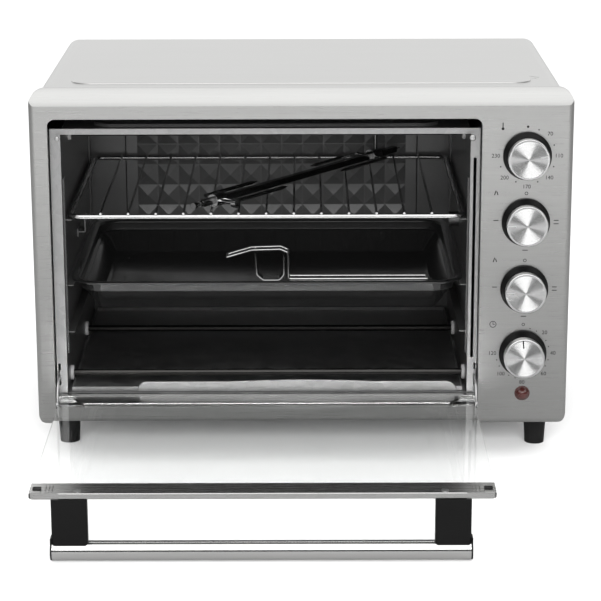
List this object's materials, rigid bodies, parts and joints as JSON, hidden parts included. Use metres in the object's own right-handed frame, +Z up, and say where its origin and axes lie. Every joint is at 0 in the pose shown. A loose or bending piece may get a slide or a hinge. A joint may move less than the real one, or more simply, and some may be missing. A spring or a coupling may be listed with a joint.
{
  "type": "toaster oven",
  "caption": "Countertop toaster oven with a drop-down glass door, control knobs, wire rack, baking tray, crumb tray and rotisserie spit.",
  "frame": {"origin": "on the table, under the middle of the bounding box with the door open", "axes": "+X to the right seen from the front, +Y from the door to the back, +Z up"},
  "size_m": [0.56, 0.6558, 0.3975],
  "materials": {
    "brushed_front": "satin, brushed along X",
    "brushed_cabinet": "satin",
    "galvanised": "zinc grey",
    "black_enamel": "gloss enamel",
    "chamber_steel": "dark semi-gloss non-stick",
    "chrome": "bright plated",
    "spit_steel": "dark plated",
    "heater_sheath": "dull oxidised steel",
    "ceramic": "white ceramic",
    "door_glass": "clear toughened",
    "door_metal": "satin",
    "handle_steel": "polished tube",
    "black_plastic": "fine-grained",
    "foot_plastic": "matt",
    "knob_aluminium": "spun",
    "lamp_lens": "dark red",
    "zinc_screw": "zinc plated",
    "phenolic": "brown-black moulded",
    "wire_jacket": "glass-braid sleeve"
  },
  "bodies": {
    "oven": {"base_pan": "galvanised", "cabinet_wrap": "brushed_cabinet", "case_screws": "zinc_screw", "cavity_floor": "chamber_steel", "cavity_left_wall": "chamber_steel", "cavity_rear_wall": "chamber_steel", "cavity_right_wall": "chamber_steel", "cavity_top": "chamber_steel", "control_plate": "galvanised", "cord_gland": "black_plastic", "door_seat_frame": "galvanised", "feet": "foot_plastic", "front_bezel": "brushed_front", "function_switches": "phenolic", "heat_shield": "galvanised", "heater_insulators": "ceramic", "lower_heating_rods": "heater_sheath", "power_lamp": "lamp_lens", "rack_guide_left": "chamber_steel", "rack_guide_right": "chamber_steel", "rear_cover": "galvanised", "rotisserie_motor": "galvanised", "spit_bearing": "galvanised", "terminal_block": "phenolic", "thermostat": "phenolic", "timer": "phenolic", "upper_heating_rods": "heater_sheath", "wiring_loom": "wire_jacket"},
    "door": {"door_glass": "door_glass", "door_end_rail": "door_metal", "door_end_caps": "door_metal", "door_hinge_rail": "door_metal", "hinge_pins": "zinc_screw", "door_stay_left": "galvanised", "door_stay_right": "galvanised", "handle_tube": "handle_steel", "handle_brackets": "black_plastic", "handle_screws": "zinc_screw"},
    "rack": {"wire_rack": "chrome"},
    "spit": {"spit_rod": "spit_steel"},
    "fork_left": {"spit_fork_left": "chrome"},
    "fork_right": {"spit_fork_right": "chrome"},
    "thumb_screw_left": {"fork_screw_left": "chrome"},
    "thumb_screw_right": {"fork_screw_right": "spit_steel"},
    "pan": {"baking_tray": "black_enamel"},
    "tool": {"tray_tool": "chrome"},
    "crumbs": {"crumb_tray": "galvanised"},
    "spit_drive": {"spit_drive_socket": "galvanised"},
    "thermostat_knob": {"thermostat_knob_skirt": "black_plastic", "thermostat_knob_cap": "knob_aluminium", "thermostat_shaft": "zinc_screw"},
    "function_a_knob": {"function_a_knob_skirt": "black_plastic", "function_a_knob_cap": "knob_aluminium", "function_a_shaft": "zinc_screw"},
    "function_b_knob": {"function_b_knob_skirt": "black_plastic", "function_b_knob_cap": "knob_aluminium", "function_b_shaft": "zinc_screw"},
    "timer_knob": {"timer_knob_skirt": "black_plastic", "timer_knob_cap": "knob_aluminium", "timer_shaft": "zinc_screw"}
  },
  "joints": [
    {"name": "door_hinge", "type": "hinge", "parent": "oven", "child": "door", "pos_m": [0, -0.02495, 0.066], "axis": [-1, 0, 0], "range_deg": [0, 90]},
    {"name": "rack_slide", "type": "slide", "parent": "oven", "child": "rack", "axis": [0, 1, 0], "range_m": [-0.2, 0]},
    {"name": "pan_slide", "type": "slide", "parent": "oven", "child": "pan", "axis": [0, 1, 0], "range_m": [-0.2, 0]},
    {"name": "crumb_tray_slide", "type": "slide", "parent": "oven", "child": "crumbs", "axis": [0, 1, 0], "range_m": [-0.25, 0]},
    {"name": "spit_lift", "type": "slide", "parent": "rack", "child": "spit", "axis": [0, 0, 1], "range_m": [0, 0.02]},
    {"name": "fork_left_slide", "type": "slide", "parent": "spit", "child": "fork_left", "axis": [0.6032, 0.7976, 0], "range_m": [-0.012, 0.06]},
    {"name": "fork_right_slide", "type": "slide", "parent": "spit", "child": "fork_right", "axis": [0.6032, 0.7976, 0], "range_m": [-0.06, 0.02]},
    {"name": "fork_screw_left_turn", "type": "hinge", "parent": "fork_left", "child": "thumb_screw_left", "pos_m": [-0.09068, 0.02006, 0.2715], "axis": [0.7976, -0.6032, 0], "range_deg": [-180, 180]},
    {"name": "fork_screw_right_turn", "type": "hinge", "parent": "fork_right", "child": "thumb_screw_right", "pos_m": [0.08546, 0.25295, 0.2715], "axis": [0, 0, 1], "range_deg": [-180, 180]},
    {"name": "tool_lift", "type": "slide", "parent": "pan", "child": "tool", "axis": [0, 0, 1], "range_m": [0, 0.04]},
    {"name": "spit_drive_turn", "type": "hinge", "parent": "oven", "child": "spit_drive", "pos_m": [0.17, 0.14105, 0.2215], "axis": [1, 0, 0], "continuous": true},
    {"name": "thermostat_turn", "type": "hinge", "parent": "oven", "child": "thermostat_knob", "pos_m": [0.2325, -0.03095, 0.3285], "axis": [0, 1, 0], "range_deg": [-90, 180]},
    {"name": "function_a_turn", "type": "hinge", "parent": "oven", "child": "function_a_knob", "pos_m": [0.2325, -0.03095, 0.2585], "axis": [0, 1, 0], "range_deg": [-270, 0]},
    {"name": "function_b_turn", "type": "hinge", "parent": "oven", "child": "function_b_knob", "pos_m": [0.2325, -0.03095, 0.187], "axis": [0, 1, 0], "range_deg": [-270, 0]},
    {"name": "timer_turn", "type": "hinge", "parent": "oven", "child": "timer_knob", "pos_m": [0.2325, -0.03095, 0.1165], "axis": [0, 1, 0], "range_deg": [-20, 270]}
  ]
}
